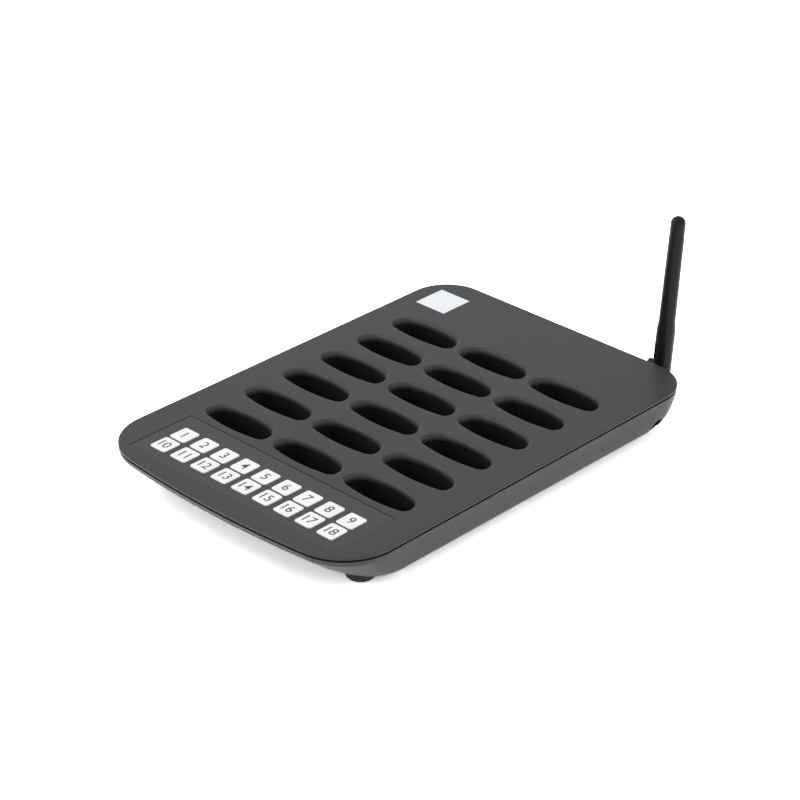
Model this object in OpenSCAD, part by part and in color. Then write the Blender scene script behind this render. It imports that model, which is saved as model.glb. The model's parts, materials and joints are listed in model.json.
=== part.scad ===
// Guest pager charging base: a flat desk unit with lens-shaped pager slots, a
// numbered call keypad along its front edge and a folding stub antenna at the rear.
// X runs to the right along the front edge, Y to the rear, Z up; the feet stand on z = 0.
// All lengths are in millimetres.

/* [Housing] */
// Width of the top plate
plate_w = 199.6; // [192:0.2:215]
// Depth of the top plate, front edge to rear edge
plate_len = 292; // [286:1:310]
// Height of the plate's face above the table
top_z = 29; // [28:0.5:36]
// Plan radius of the four corners
corner_r = 34; // [26:1:44]
// Plan radius of the gently bowed front edge
front_arc_r = 660; // [400:20:1200]
// Thickness of the top cover
cover_t = 3; // [2.4:0.2:3.4]
// Thickness of the cover's visible edge
edge_t = 1.6; // [1.2:0.1:2]
// Shadow gap between the cover's edge and the lower shell
seam_gap = 0.5; // [0.2:0.1:1]
// Wall of the lower shell
wall = 2.2; // [1.6:0.1:2.6]
// Height of the upright lip under the seam, seen along the front
lip_h = 3.3; // [2:0.1:5]
// Height of the flat underside above the table
underside_z = 3.2; // [2.5:0.1:4.5]
// Radius of the rounded lower edge
bilge_r = 8; // [6:0.5:10]
// How far the lower edge's centre lies in from the plate's side
side_tuck = 13.8; // [12:0.2:18]
// How far it lies in from the plate's rear edge
rear_tuck = 18; // [14:0.5:24]
// How far it lies in from the plate's front edge
front_tuck = 34; // [26:1:40]

/* [Pager slots] */
// Slot columns
slot_cols = 3; // [3:1:3]
// Slot rows
slot_rows = 6; // [3:1:6]
// Distance between slot columns
slot_pitch_x = 55.6; // [54:0.1:57]
// Distance between slot rows
slot_pitch_y = 30.5; // [27:0.1:31]
// First row's distance from the front edge
slot_front = 75.6; // [74:0.2:80]
// Length of a slot's rim
rim_len = 51.8; // [46:0.2:52]
// Width of a slot's rim
rim_w = 22; // [19:0.2:23]
// Plan radius of a slot's long sides
rim_side_r = 47; // [44:1:60]
// Rounding of the rim
rim_round = 2.5; // [1.5:0.1:2.8]
// Depth from the plate's face to a well's floor
well_depth = 17; // [14:0.5:18]
// Wall of a well
well_wall = 1.6; // [1.2:0.1:1.8]

/* [Keypad] */
// Key columns
key_cols = 9; // [9:1:9]
// Key rows
key_rows = 2; // [2:1:2]
// Distance between key columns
key_pitch_x = 16.5; // [16:0.1:17]
// Distance between key rows
key_pitch_y = 14.5; // [14.3:0.1:15.5]
// Width of a key
key_w = 12; // [10:0.1:12.4]
// Depth of a key
key_d = 12.8; // [10:0.1:12.9]
// Corner radius of a key
key_r = 1.5; // [0.5:0.1:3]
// How far a key stands above the plate
key_proud = 0.3; // [0.1:0.1:1]
// Travel of a key
key_travel = 0.6; // [0.3:0.1:0.8]
// Rear key row's distance from the front edge
key_front = 42.1; // [40:0.1:44]
// Width of the keypad panel
panel_w = 161.2; // [158:0.2:166]
// Depth of the keypad panel
panel_d = 45.7; // [43:0.1:47]
// Panel centre's distance from the front edge
panel_front = 36.9; // [35:0.1:39]
// Thickness of the keypad panel
panel_t = 1.4; // [1:0.1:1.8]
// How far the panel lies below the plate's face
panel_sunk = 0.2; // [0:0.05:0.5]

/* [Antenna] */
// Antenna's distance to the right of the middle
antenna_x = 65; // [58:0.5:66]
// Pivot's distance behind the plate's rear edge
pivot_back = 13.2; // [13:0.1:16]
// Pivot's distance below the plate's face
pivot_drop = 9.5; // [8.5:0.1:11]
// Length from the pivot to the tip
mast_len = 97; // [70:1:180]
// Radius of the collar at the mast's foot
collar_r = 5.3; // [5:0.1:5.5]
// Height of the collar's top above the pivot
collar_top = 28; // [20:1:36]
// Radius of the mast just above its collar
mast_foot_r = 4.8; // [4:0.1:5]
// Radius of the mast at its cap
mast_top_r = 4.3; // [3.6:0.1:4.6]
// Radius of the tip cap
cap_r = 4.5; // [3.8:0.1:4.8]
// Length of the tip cap
cap_len = 13; // [9:1:20]
// Lean of the mast behind the vertical, at rest
mast_lean = 4.57; // [0:0.01:20]

/* [Label, feet and inlet] */
// Side of the square label
label_side = 23.5; // [18:0.5:26]
// Label centre's distance to the left of the middle
label_left = 77; // [74:0.5:78]
// Label centre's distance from the rear edge
label_back = 26.9; // [24:0.1:30]
// Radius of a rubber foot
foot_r = 8.25; // [6:0.25:10]
// Foot centre's distance from the middle
foot_x = 74.4; // [64:0.2:78]
// Front feet's distance from the front edge
foot_front = 40.3; // [38:0.1:60]
// Rear feet's distance from the rear edge
foot_back = 36; // [30:1:60]
// Power inlet's distance from the rear edge
port_back = 31; // [28:0.5:36]
// Width of the notch for the power plug
port_w = 10; // [9.4:0.1:12]

/* [Hidden] */
$fn = 64;
SIDES = ["left", "centre", "right"];
FEET = ["front_left", "front_right", "rear_left", "rear_right"];
key_count = key_cols * key_rows;

eps = 0.01;
over = 1;                  // how far a cut runs past the face that it opens
gap = 0.3;                 // clearance between neighbouring parts that don't touch
run_gap = 0.05;            // radial clearance of a turning fit
smooth = 360;              // segments of long, shallow arcs

// The whole object is centred on its box, so the plate lies forward of the origin
// by half the antenna's reach behind it.
tip_centre = mast_len - cap_r;
antenna_reach = pivot_back + tip_centre * sin(mast_lean) + cap_r;
front_y = -(plate_len + antenna_reach) / 2;
back_y = front_y + plate_len;

// Plan outline: corner centres and the point where corner and front arc meet
core_x = plate_w / 2 - corner_r;
front_core_y = front_y + front_arc_r - sqrt(pow(front_arc_r - corner_r, 2) - pow(core_x, 2));
back_core_y = back_y - corner_r;
front_join = core_x / (front_arc_r - corner_r);

// Lower shell
rim_z = top_z - edge_t - seam_gap;
rim_inset = 0.1;
lip_z = rim_z - lip_h;
bilge_z = underside_z + bilge_r;
bilge_x = plate_w / 2 - side_tuck;
bilge_corner_r = 20;                   // plan radius of the bilge's corners, at its centre line
slab_t = 0.5;                          // thin slices that the hull form is drawn over
bilge_front_y = front_y + front_tuck;
bilge_back_y = back_y - rear_tuck;
floor_z = underside_z + wall;
side_run = side_tuck - rim_inset;
side_rise = rim_z - bilge_z;
side_slope = atan2(side_run, side_rise) - asin(bilge_r / norm([side_run, side_rise]));
lip_inset = rim_inset + lip_h * tan(side_slope);
nest_gap = 0.2;
nest_inset = rim_inset + wall + nest_gap;   // the cover's step drops inside the shell's rim
foot_seat = 0.8;                       // how deep a foot sits in its pocket
foot_chamfer = 0.8;
boss_split_z = (floor_z + top_z - cover_t) / 2;   // where the cover's posts meet the shell's

// Case screws: three a side
screw_r = 1.5;
screw_bite = 7;                        // length in the cover's post
screw_head_r = 2.7;
screw_head_h = 2;
cross_len = 3.2;
cross_w = 0.8;
cross_depth = 1;
boss_r = 4;
boss_x = plate_w / 2 - 12.8;
rear_boss_x = boss_x - 10;
front_boss_y = front_y + 56;
rear_boss_y = back_y - 20.5;
CASE_SCREWS = [
    for (s = [-1, 1], p = [
        [boss_x, front_boss_y],
        [boss_x, front_y + slot_front + (slot_rows - 1) / 2 * slot_pitch_y],
        [rear_boss_x, rear_boss_y]
    ]) [s * p[0], p[1]]
];
head_z = floor_z + 1.6;    // seat of a case screw's head, deep in the underside

// Slots and the wells under them
slot_half_l = rim_len / 2;
slot_half_w = rim_w / 2;
rim_rise = 0.05;                       // the rim's arc starts this far above the face
rim_spread = sqrt(pow(rim_round, 2) - pow(rim_round - rim_rise, 2));
hole_inset = rim_round - rim_spread;
well_setback = 0.6;
well_inset = hole_inset - well_setback;   // a well is wider than the hole above it
well_floor_z = top_z - well_depth;
strip_top_z = top_z - cover_t;
strip_web_t = 1.6;
strip_w = rim_len - 2 * well_inset + 2 * well_wall + 0.8;
strip_margin = 4;
contact_x = 9;
contact_r = 0.9;
contact_rise = 1.5;                    // how far a pin's tip stands above the well's floor
contact_gap = 0.25;
barrel_r = 1.5;                        // body of a sprung pin, under the well's floor
barrel_gap = 0.4;

// Boards
board_t = 1.6;
board_z = floor_z + 1.1;
board_top_z = board_z + board_t;
rest_r = 2.5;
rest_inset = 3;                        // a rest's distance in from its board's edge
charge_board_w = 36;
charge_front_y = front_y + slot_front - 12;
charge_back_y = front_y + slot_front + (slot_rows - 1) * slot_pitch_y + 15;
main_front_y = charge_back_y + 1.5;
main_back_y = back_y - 25.2;
main_left_x = -62;
main_right_x = plate_w / 2 - 23.8;
link_w = 12;
link_d = 7.5;
link_h = 2.5;
chip_side = 12;
chip_t = 1.4;
rf_w = 34;
rf_d = 15;
rf_t = 1.2;
rf_x = antenna_x - 31;
shield_w = 20;
shield_d = 11;
shield_h = 2.4;
shield_t = 0.3;
shield_inset = 2;

// Keypad stack, from the panel down
panel_y = front_y + panel_front;
panel_top_z = top_z - panel_sunk;
panel_bottom_z = panel_top_z - panel_t;
side_ledge = 4;
end_ledge = 2.5;
window_w = panel_w - 2 * side_ledge;
window_d = panel_d - 2 * end_ledge;
key_y = front_y + key_front;
flange = 0.6;
flange_t = 1.2;
flange_z = panel_bottom_z - 0.1;       // a released key's flange stands just under the panel
key_hole_gap = 0.2;
stem_r = 1.75;
stem_gap = 0.15;
stem_dip = 1.5;                        // how far a released key's stem reaches into its switch
switch_h = 3.4;
switch_w = 6;
switch_well = 2.4;
switch_top_z = flange_z - flange_t - key_travel - 1.1;
stem_len = flange_z - flange_t - switch_top_z + stem_dip;
keypad_board_z = switch_top_z - switch_h - board_t;
keypad_board_w = panel_w + 2.8;
keypad_board_d = 32;
keypad_board_y = key_y - (key_rows - 1) * key_pitch_y / 2;
keypad_post_x = panel_w / 2 - 1.4;
keypad_post_y = 9;
keypad_post_r = 2.2;
keypad_screw_r = 0.9;
keypad_screw_len = 5;
keypad_head_r = 1.9;
keypad_head_h = 1;
ribbon_w = 12;
ribbon_t = 0.8;
ribbon_x = -slot_pitch_x / 2;          // between the left and the centre charging board
header_d = 5;
header_h = 3;

// Antenna
pivot_y = back_y + pivot_back;
pivot_z = top_z - pivot_drop;
connector_face_y = back_y - 2.1;
connector_r = 3.1;
connector_end_y = back_y + 4.6;
connector_wall = 3.4;                  // thickness of the seat that the connector passes through
connector_boss_r = 6.2;
connector_flange = 7;
connector_flange_t = 2;
pocket_w = connector_flange + 2 * gap;
connector_tail_r = 2.4;
connector_tail = 3.6;
tail_end_y = connector_face_y - connector_wall - connector_flange_t - connector_tail;
nut_t = 2.2;
nut_across = 8;
thread_gap = 0.02;
knuckle_r = 5.25;
knuckle_start_y = connector_face_y + nut_t + gap;
ear_r = 5;
tongue_w = 4.4;
tongue_gap = 0.15;
tongue_r = 4.6;
pin_r = 1.25;
pin_inset = 0.6;
pin_press = 0.01;                      // the pin stays put in the knuckle's ears
collar_z = collar_r + gap;             // the collar starts above the knuckle
collar_edge = 0.5;
collar_taper = 2.5;
wire_r = 0.9;
wire_gap = 0.2;
wire_start_z = collar_z + 3;
wire_in_cap = 6.5;
sleeve_end_z = mast_len - cap_len;
spigot_r = mast_top_r - 1.4;
spigot_len = 5;
lead_r = 0.9;
lead_bend_r = 3;
lead_plug_r = 1.8;
lead_plug_h = 2;

// Label, in a recess a little deeper than the label
label_t = 0.2;
label_sunk = 0.05;
label_z = top_z - label_sunk - label_t;

// Power inlet
port_y = back_y - port_back;
port_arch_z = floor_z + 1.1;
jack_len = 13;
jack_w = 8.6;
jack_h = 6;
jack_z = floor_z + 0.2 + jack_h / 2;
jack_face_x = main_right_x + jack_len;
jack_tail = 3.5;                       // the part of the jack that sits on the board
jack_bore_r = 2.4;
jack_bore_depth = 9;
jack_pin_r = 0.7;
port_pocket = 4;                       // the shell's inside is cleared this far behind the jack's face

// ---------------------------------------------------------------- outlines

// The plate's outline, drawn in by an inset
module plan(inset = 0) {
    r = corner_r - inset;
    join_x = core_x + r * front_join;
    translate([-core_x, front_core_y]) {
        square([2 * core_x, back_core_y + r - front_core_y]);
    }
    translate([-core_x - r, front_core_y]) {
        square([2 * (core_x + r), back_core_y - front_core_y]);
    }
    for (x = [-core_x, core_x], y = [front_core_y, back_core_y]) {
        translate([x, y]) circle(r, $fn = 96);
    }
    intersection() {
        translate([0, front_y + front_arc_r]) circle(front_arc_r - inset, $fn = 4 * smooth);
        translate([-join_x, front_y]) square([2 * join_x, front_core_y - front_y + eps]);
    }
}

// End radius of the lens that has these half sizes and long sides of radius side_r
function lens_end_r(half_l, half_w, side_r) =
    (pow(side_r, 2) - pow(half_l, 2) - pow(side_r - half_w, 2)) / (2 * (side_r - half_l));

// A slot's lens outline, two long arcs joined by two end arcs, drawn in by an inset
module lens(inset = 0) {
    half_w = slot_half_w - inset;
    side_r = rim_side_r - inset;
    end_r = lens_end_r(slot_half_l, slot_half_w, rim_side_r) - inset;
    end_x = slot_half_l - end_r - inset;
    join_x = end_x + end_r * end_x / (side_r - end_r);
    for (x = [-end_x, end_x]) {
        translate([x, 0]) circle(end_r);
    }
    intersection() {
        translate([0, side_r - half_w]) circle(side_r, $fn = smooth);
        translate([0, half_w - side_r]) circle(side_r, $fn = smooth);
        square([2 * join_x, 2 * half_w + over], center = true);
    }
}

// Half section of the opening's side, swung round an arc of the lens outline
module slot_profile(arc_r, inner_r) {
    round_x = arc_r + rim_spread;
    round_z = top_z - rim_round + rim_rise;
    difference() {
        translate([inner_r, strip_top_z - over]) square([round_x - inner_r, cover_t + 2 * over]);
        translate([round_x - rim_round, strip_top_z - 2 * over]) {
            square([rim_round + over, round_z - strip_top_z + 2 * over]);
        }
        translate([round_x, round_z]) circle(rim_round, $fn = 48);
    }
}

// What a slot removes from the cover: a lens-shaped opening with a rounded rim
module slot_cut() {
    end_r = lens_end_r(slot_half_l, slot_half_w, rim_side_r);
    end_x = slot_half_l - end_r;
    side_y = rim_side_r - slot_half_w;
    reach = atan2(end_x, side_y);
    for (turn = [0, 180]) rotate([0, 0, turn]) {
        translate([0, -side_y, 0]) rotate([0, 0, 90 - reach]) {
            rotate_extrude(angle = 2 * reach, $fn = smooth) slot_profile(rim_side_r, side_y - over);
        }
        translate([end_x, 0, 0]) rotate([0, 0, reach - 90]) {
            rotate_extrude(angle = 180 - 2 * reach, $fn = 96) slot_profile(end_r, 0);
        }
    }
}

module at_slots(cols = [0 : slot_cols - 1]) {
    for (i = cols, j = [0 : slot_rows - 1]) {
        translate([(i - (slot_cols - 1) / 2) * slot_pitch_x, front_y + slot_front + j * slot_pitch_y, 0]) {
            children();
        }
    }
}

// A rectangle with rounded corners, centred
module round_rect(w, d, r) {
    square([w - 2 * r, d], center = true);
    square([w, d - 2 * r], center = true);
    for (x = [-1, 1], y = [-1, 1]) {
        translate([x * (w / 2 - r), y * (d / 2 - r)]) circle(r, $fn = 32);
    }
}

// Place of key k: the rear row counts up from the left, the front row goes on
function key_place(k) = [
    ((k - 1) % key_cols - (key_cols - 1) / 2) * key_pitch_x,
    key_y - floor((k - 1) / key_cols) * key_pitch_y,
    0
];

// ---------------------------------------------------------------- housing

// Cover: a flat plate that nests in the shell, with slots, keypad window and bosses
module top_cover() {
    color([0.20, 0.20, 0.21])
    difference() {
        union() {
            translate([0, 0, top_z - edge_t]) linear_extrude(edge_t) plan();
            translate([0, 0, strip_top_z]) linear_extrude(cover_t - edge_t + eps) plan(nest_inset);
            for (p = CASE_SCREWS) {
                translate([p[0], p[1], boss_split_z]) {
                    cylinder(h = strip_top_z - boss_split_z + eps, r = boss_r);
                }
            }
            at_keypad_posts() {
                translate([0, 0, keypad_board_z + board_t]) {
                    cylinder(h = strip_top_z - keypad_board_z - board_t + eps, r = keypad_post_r, $fn = 32);
                }
            }
        }
        at_slots() slot_cut();
        recess(0, panel_y, panel_w + 2 * gap, panel_d + 2 * gap, panel_bottom_z);
        recess(0, panel_y, window_w, window_d, strip_top_z - over);
        recess(-label_left, back_y - label_back, label_side + gap, label_side + gap, label_z);
        for (p = CASE_SCREWS) {
            translate([p[0], p[1], boss_split_z - over]) {
                cylinder(h = screw_bite + 2 * over, r = screw_r, $fn = 32);
            }
        }
        at_keypad_posts() translate([0, 0, keypad_board_z]) {
            cylinder(h = keypad_screw_len + gap, r = keypad_screw_r, $fn = 24);
        }
    }
}

// A rectangular cut about (x, y), from height z up through the cover's face
module recess(x, y, w, d, z) {
    translate([x - w / 2, y - d / 2, z]) cube([w, d, top_z - z + over]);
}

module at_keypad_posts() {
    for (x = [-keypad_post_x, keypad_post_x], y = [-keypad_post_y, keypad_post_y]) {
        translate([x, keypad_board_y + y, 0]) children();
    }
}

// The hull form: the seam outline blended down to the rounded edge of the underside
module hull_form(inset) {
    r = bilge_r - inset;
    hull() {
        translate([0, 0, rim_z - slab_t]) linear_extrude(slab_t) plan(rim_inset + inset);
        translate([0, 0, lip_z]) linear_extrude(slab_t) plan(lip_inset + inset);
        for (x = [-1, 1], y = [bilge_front_y + bilge_corner_r, bilge_back_y - bilge_corner_r]) {
            translate([x * (bilge_x - bilge_corner_r), y, bilge_z]) {
                rotate_extrude($fn = 64) translate([bilge_corner_r, 0]) circle(r, $fn = 32);
            }
        }
    }
}

// Lower shell: a hollow hull with screw posts, board rests, foot pockets and openings
module bottom_shell() {
    color([0.19, 0.19, 0.20])
    difference() {
        union() {
            difference() {
                hull_form(0);
                hull_form(wall);
                translate([0, 0, rim_z - over]) linear_extrude(2 * over) plan(rim_inset + wall);
            }
            intersection() {
                hull_form(wall / 2);
                union() {
                    for (p = CASE_SCREWS) {
                        translate([p[0], p[1], underside_z]) {
                            cylinder(h = boss_split_z - underside_z, r = boss_r);
                        }
                    }
                    at_board_rests() translate([0, 0, underside_z]) {
                        cylinder(h = board_z - underside_z, r = rest_r, $fn = 32);
                    }
                }
            }
            along_connector(tail_end_y) cylinder(h = connector_face_y - tail_end_y, r = connector_boss_r);
        }
        for (p = CASE_SCREWS) {
            translate([p[0], p[1], 0]) {
                cylinder(h = boss_split_z + over, r = screw_r + gap, $fn = 32);
                cylinder(h = head_z, r = screw_head_r + gap, $fn = 32);
            }
        }
        at_feet() cylinder(h = underside_z + foot_seat, r = foot_r + gap);
        along_connector(connector_face_y - 2 * connector_boss_r) {
            cylinder(h = 3 * connector_boss_r, r = connector_r + run_gap, $fn = 48);
        }
        along_connector(connector_face_y) cylinder(h = connector_boss_r, r = connector_boss_r);
        along_connector(tail_end_y - over) {
            translate([-pocket_w / 2, -pocket_w / 2, 0]) {
                cube([pocket_w, pocket_w, connector_face_y - connector_wall - tail_end_y + over]);
            }
        }
        port_notch();
    }
}

// Stands what is drawn upright on the connector's axis, from a distance y along it, pointing to the rear
module along_connector(y) {
    translate([antenna_x, y, pivot_z]) rotate([-90, 0, 0]) children();
}

// Arched notch in the right side, where the power plug goes in
module port_notch() {
    start_x = jack_face_x - port_pocket;
    translate([start_x, port_y, 0]) rotate([90, 0, 90]) linear_extrude(plate_w / 2 - start_x + over) {
        translate([0, port_arch_z]) circle(port_w / 2, $fn = 48);
        translate([-port_w / 2, floor_z]) square([port_w, port_arch_z - floor_z]);
    }
}

module at_feet() {
    for (f = [0 : 3]) translate(foot_place(f)) children();
}

function foot_place(f) = [
    (f % 2 == 0 ? -1 : 1) * foot_x,
    f < 2 ? front_y + foot_front : back_y - foot_back,
    0
];

module at_board_rests() {
    for (i = [0 : slot_cols - 1], j = [0 : slot_rows - 2], s = [-1, 1]) {
        translate([
            (i - (slot_cols - 1) / 2) * slot_pitch_x + s * (charge_board_w / 2 - rest_inset),
            front_y + slot_front + (j + 0.5) * slot_pitch_y,
            0
        ]) children();
    }
    for (x = [main_left_x + rest_inset, 0, main_right_x - rest_inset]) {
        translate([x, (main_front_y + main_back_y) / 2, 0]) children();
    }
}

// One rubber foot, seated in its pocket
module foot(f) {
    color([0.11, 0.11, 0.11])
    translate(foot_place(f)) rotate_extrude() {
        polygon([
            [0, 0], [foot_r - foot_chamfer, 0], [foot_r, foot_chamfer],
            [foot_r, underside_z + foot_seat], [0, underside_z + foot_seat]
        ]);
    }
}

// Case screws, driven up from the underside
module case_screws() {
    color([0.55, 0.55, 0.57])
    for (p = CASE_SCREWS) {
        translate([p[0], p[1], head_z]) difference() {
            union() {
                translate([0, 0, -screw_head_h]) cylinder(h = screw_head_h, r = screw_head_r, $fn = 32);
                cylinder(h = boss_split_z - head_z + screw_bite, r = screw_r, $fn = 32);
            }
            for (a = [0, 90]) {
                rotate([0, 0, a]) translate([0, 0, -screw_head_h]) {
                    cube([cross_len, cross_w, 2 * cross_depth], center = true);
                }
            }
        }
    }
}

// Blank square label in its shallow recess
module blank_label() {
    color([0.95, 0.96, 0.98])
    translate([-label_left - label_side / 2, back_y - label_back - label_side / 2, label_z]) {
        cube([label_side, label_side, label_t]);
    }
}

// ---------------------------------------------------------------- pager wells

// A strip of wells under one column of slots
module slot_strip(column) {
    x = (column - (slot_cols - 1) / 2) * slot_pitch_x;
    strip_front_y = front_y + slot_front - slot_half_w - strip_margin;
    strip_len = (slot_rows - 1) * slot_pitch_y + 2 * (slot_half_w + strip_margin);
    color([0.07, 0.07, 0.07])
    difference() {
        union() {
            translate([x - strip_w / 2, strip_front_y, strip_top_z - strip_web_t]) {
                cube([strip_w, strip_len, strip_web_t]);
            }
            at_slots([column]) {
                translate([0, 0, well_floor_z - well_wall]) {
                    linear_extrude(strip_top_z - well_floor_z) lens(well_inset - well_wall);
                }
            }
        }
        at_slots([column]) {
            translate([0, 0, well_floor_z]) linear_extrude(well_depth) lens(well_inset);
            for (s = [-1, 1]) {
                translate([s * contact_x, 0, well_floor_z - well_wall - over]) {
                    cylinder(h = well_wall + 2 * over, r = contact_r + contact_gap, $fn = 24);
                }
            }
        }
    }
}

// Charging board under one column of wells
module charging_board(column) {
    x = (column - (slot_cols - 1) / 2) * slot_pitch_x;
    color([0.10, 0.22, 0.14])
    translate([x - charge_board_w / 2, charge_front_y, board_z]) {
        cube([charge_board_w, charge_back_y - charge_front_y, board_t]);
    }
}

// Sprung contact pins that rise through the wells' floors, two a well
module charging_contacts(column) {
    tip_z = well_floor_z + contact_rise - contact_r;
    color([0.80, 0.65, 0.30])
    at_slots([column]) for (s = [-1, 1]) {
        translate([s * contact_x, 0, board_top_z]) {
            cylinder(h = tip_z - board_top_z, r = contact_r, $fn = 24);
            translate([0, 0, tip_z - board_top_z]) sphere(contact_r, $fn = 24);
            cylinder(h = well_floor_z - well_wall - barrel_gap - board_top_z, r = barrel_r, $fn = 24);
        }
    }
}

// ---------------------------------------------------------------- keypad

// Panel round the keys, in its recess
module keypad_panel() {
    color([0.24, 0.25, 0.26])
    difference() {
        translate([-panel_w / 2, panel_y - panel_d / 2, panel_bottom_z]) cube([panel_w, panel_d, panel_t]);
        for (k = [1 : key_count]) {
            translate(key_place(k)) translate([0, 0, panel_bottom_z - over]) {
                linear_extrude(panel_t + 2 * over) {
                    round_rect(key_w + 2 * key_hole_gap, key_d + 2 * key_hole_gap, key_r + key_hole_gap);
                }
            }
        }
    }
}

// Key k with its retaining flange and the stem that works the switch
module key_cap(k) {
    color([0.95, 0.95, 0.95])
    translate(key_place(k)) {
        translate([0, 0, flange_z - eps]) linear_extrude(top_z + key_proud - flange_z + eps) {
            round_rect(key_w, key_d, key_r);
        }
        translate([0, 0, flange_z - flange_t]) linear_extrude(flange_t) {
            round_rect(key_w + 2 * flange, key_d + 2 * flange, key_r);
        }
        translate([0, 0, flange_z - flange_t - stem_len]) cylinder(h = stem_len + eps, r = stem_r, $fn = 32);
    }
}

// Switch housings, one under each key
module key_switches() {
    color([0.14, 0.14, 0.15])
    for (k = [1 : key_count]) {
        translate(key_place(k)) difference() {
            translate([-switch_w / 2, -switch_w / 2, switch_top_z - switch_h]) {
                cube([switch_w, switch_w, switch_h]);
            }
            translate([0, 0, switch_top_z - switch_well]) {
                cylinder(h = switch_well + over, r = stem_r + stem_gap, $fn = 32);
            }
        }
    }
}

// Keypad board, hung from the cover
module keypad_board() {
    color([0.10, 0.22, 0.14])
    difference() {
        translate([0, keypad_board_y, keypad_board_z + board_t / 2]) {
            cube([keypad_board_w, keypad_board_d, board_t], center = true);
        }
        at_keypad_posts() {
            translate([0, 0, keypad_board_z - over]) {
                cylinder(h = board_t + 2 * over, r = keypad_screw_r + key_hole_gap, $fn = 24);
            }
        }
    }
}

// Small screws that hold the keypad board
module keypad_screws() {
    color([0.55, 0.55, 0.57])
    at_keypad_posts() translate([0, 0, keypad_board_z]) {
        translate([0, 0, -keypad_head_h]) cylinder(h = keypad_head_h, r = keypad_head_r, $fn = 24);
        cylinder(h = keypad_screw_len, r = keypad_screw_r, $fn = 24);
    }
}

// Flat ribbon with a header at each end: down from the keypad board, back along the
// floor and up to the main board
module keypad_ribbon() {
    start_y = keypad_board_y + keypad_board_d / 2;
    end_y = main_front_y - gap - ribbon_t;
    low_z = floor_z + gap;
    color([0.70, 0.70, 0.72])
    translate([ribbon_x - ribbon_w / 2, 0, 0]) {
        translate([0, start_y - header_d, keypad_board_z - header_h]) cube([ribbon_w, header_d, header_h]);
        translate([0, start_y - eps, low_z]) {
            cube([ribbon_w, ribbon_t + eps, keypad_board_z - header_h / 2 - low_z]);
        }
        translate([0, start_y, low_z]) cube([ribbon_w, end_y - start_y + ribbon_t, ribbon_t]);
        translate([0, end_y, low_z]) cube([ribbon_w, ribbon_t, board_top_z + header_h / 2 - low_z]);
        translate([0, end_y, board_top_z]) cube([ribbon_w, header_d + gap + ribbon_t, header_h]);
    }
}

// ---------------------------------------------------------------- electronics

// Main board across the rear
module main_board() {
    color([0.10, 0.22, 0.14])
    translate([main_left_x, main_front_y, board_z]) {
        cube([main_right_x - main_left_x, main_back_y - main_front_y, board_t]);
    }
}

// Pin headers that link the charging boards to the main board
module board_links() {
    color([0.10, 0.10, 0.10])
    for (i = [0 : slot_cols - 1]) {
        x = (i - (slot_cols - 1) / 2) * slot_pitch_x;
        translate([x - link_w / 2, main_front_y - link_d / 2, board_top_z]) cube([link_w, link_d, link_h]);
    }
}

// Controller chip
module control_chip() {
    color([0.08, 0.08, 0.08])
    translate([-chip_side, (main_front_y + main_back_y) / 2 - chip_side / 3, board_top_z]) {
        cube([chip_side, chip_side, chip_t]);
    }
}

// Radio module on the main board
module rf_module() {
    color([0.12, 0.20, 0.35])
    translate([rf_x, main_back_y - rf_d, board_top_z]) cube([rf_w, rf_d, rf_t]);
}

// Screening can over the radio
module rf_shield() {
    color([0.75, 0.75, 0.77])
    translate([rf_x + shield_inset, main_back_y - rf_d + shield_inset, board_top_z + rf_t]) difference() {
        cube([shield_w, shield_d, shield_h]);
        translate([shield_t, shield_t, -over]) {
            cube([shield_w - 2 * shield_t, shield_d - 2 * shield_t, shield_h - shield_t + over]);
        }
    }
}

// Thin coaxial lead from the radio to the antenna's connector
module antenna_coax() {
    plug_y = main_back_y - 3;
    plug_z = board_top_z + rf_t;
    color([0.15, 0.15, 0.16])
    translate([antenna_x, plug_y, 0]) {
        translate([0, 0, plug_z]) cylinder(h = lead_plug_h, r = lead_plug_r, $fn = 32);
        translate([0, 0, plug_z]) cylinder(h = pivot_z - lead_bend_r - plug_z, r = lead_r, $fn = 24);
        translate([0, lead_bend_r, pivot_z - lead_bend_r]) rotate([90, 0, -90]) {
            rotate_extrude(angle = 90, $fn = 64) translate([lead_bend_r, 0]) circle(lead_r, $fn = 24);
        }
        translate([0, lead_bend_r, pivot_z]) rotate([-90, 0, 0]) {
            cylinder(h = tail_end_y - plug_y - lead_bend_r, r = lead_r, $fn = 24);
        }
    }
}

// Power jack let into the end of the main board, facing the notch
module dc_jack() {
    color([0.10, 0.10, 0.10])
    difference() {
        translate([main_right_x, port_y - jack_w / 2, 0]) {
            translate([0, 0, jack_z - jack_h / 2]) cube([jack_len, jack_w, jack_h]);
            translate([-jack_tail, 0, board_top_z]) {
                cube([jack_tail + eps, jack_w, jack_z + jack_h / 2 - board_top_z]);
            }
        }
        translate([jack_face_x - jack_bore_depth, port_y, jack_z]) rotate([0, 90, 0]) difference() {
            cylinder(h = jack_bore_depth + over, r = jack_bore_r, $fn = 32);
            cylinder(h = jack_bore_depth - over / 2, r = jack_pin_r, $fn = 24);
        }
    }
}

// ---------------------------------------------------------------- antenna

// Bulkhead connector through the rear wall, with its square flange inside
module antenna_connector() {
    seat_y = connector_face_y - connector_wall;
    color([0.80, 0.68, 0.35]) {
        along_connector(seat_y - eps) {
            cylinder(h = connector_end_y - seat_y + eps, r = connector_r, $fn = 48);
        }
        along_connector(seat_y - connector_flange_t) {
            translate([-connector_flange / 2, -connector_flange / 2, 0]) {
                cube([connector_flange, connector_flange, connector_flange_t]);
            }
        }
        along_connector(tail_end_y) cylinder(h = connector_tail + eps, r = connector_tail_r, $fn = 32);
    }
}

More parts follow.
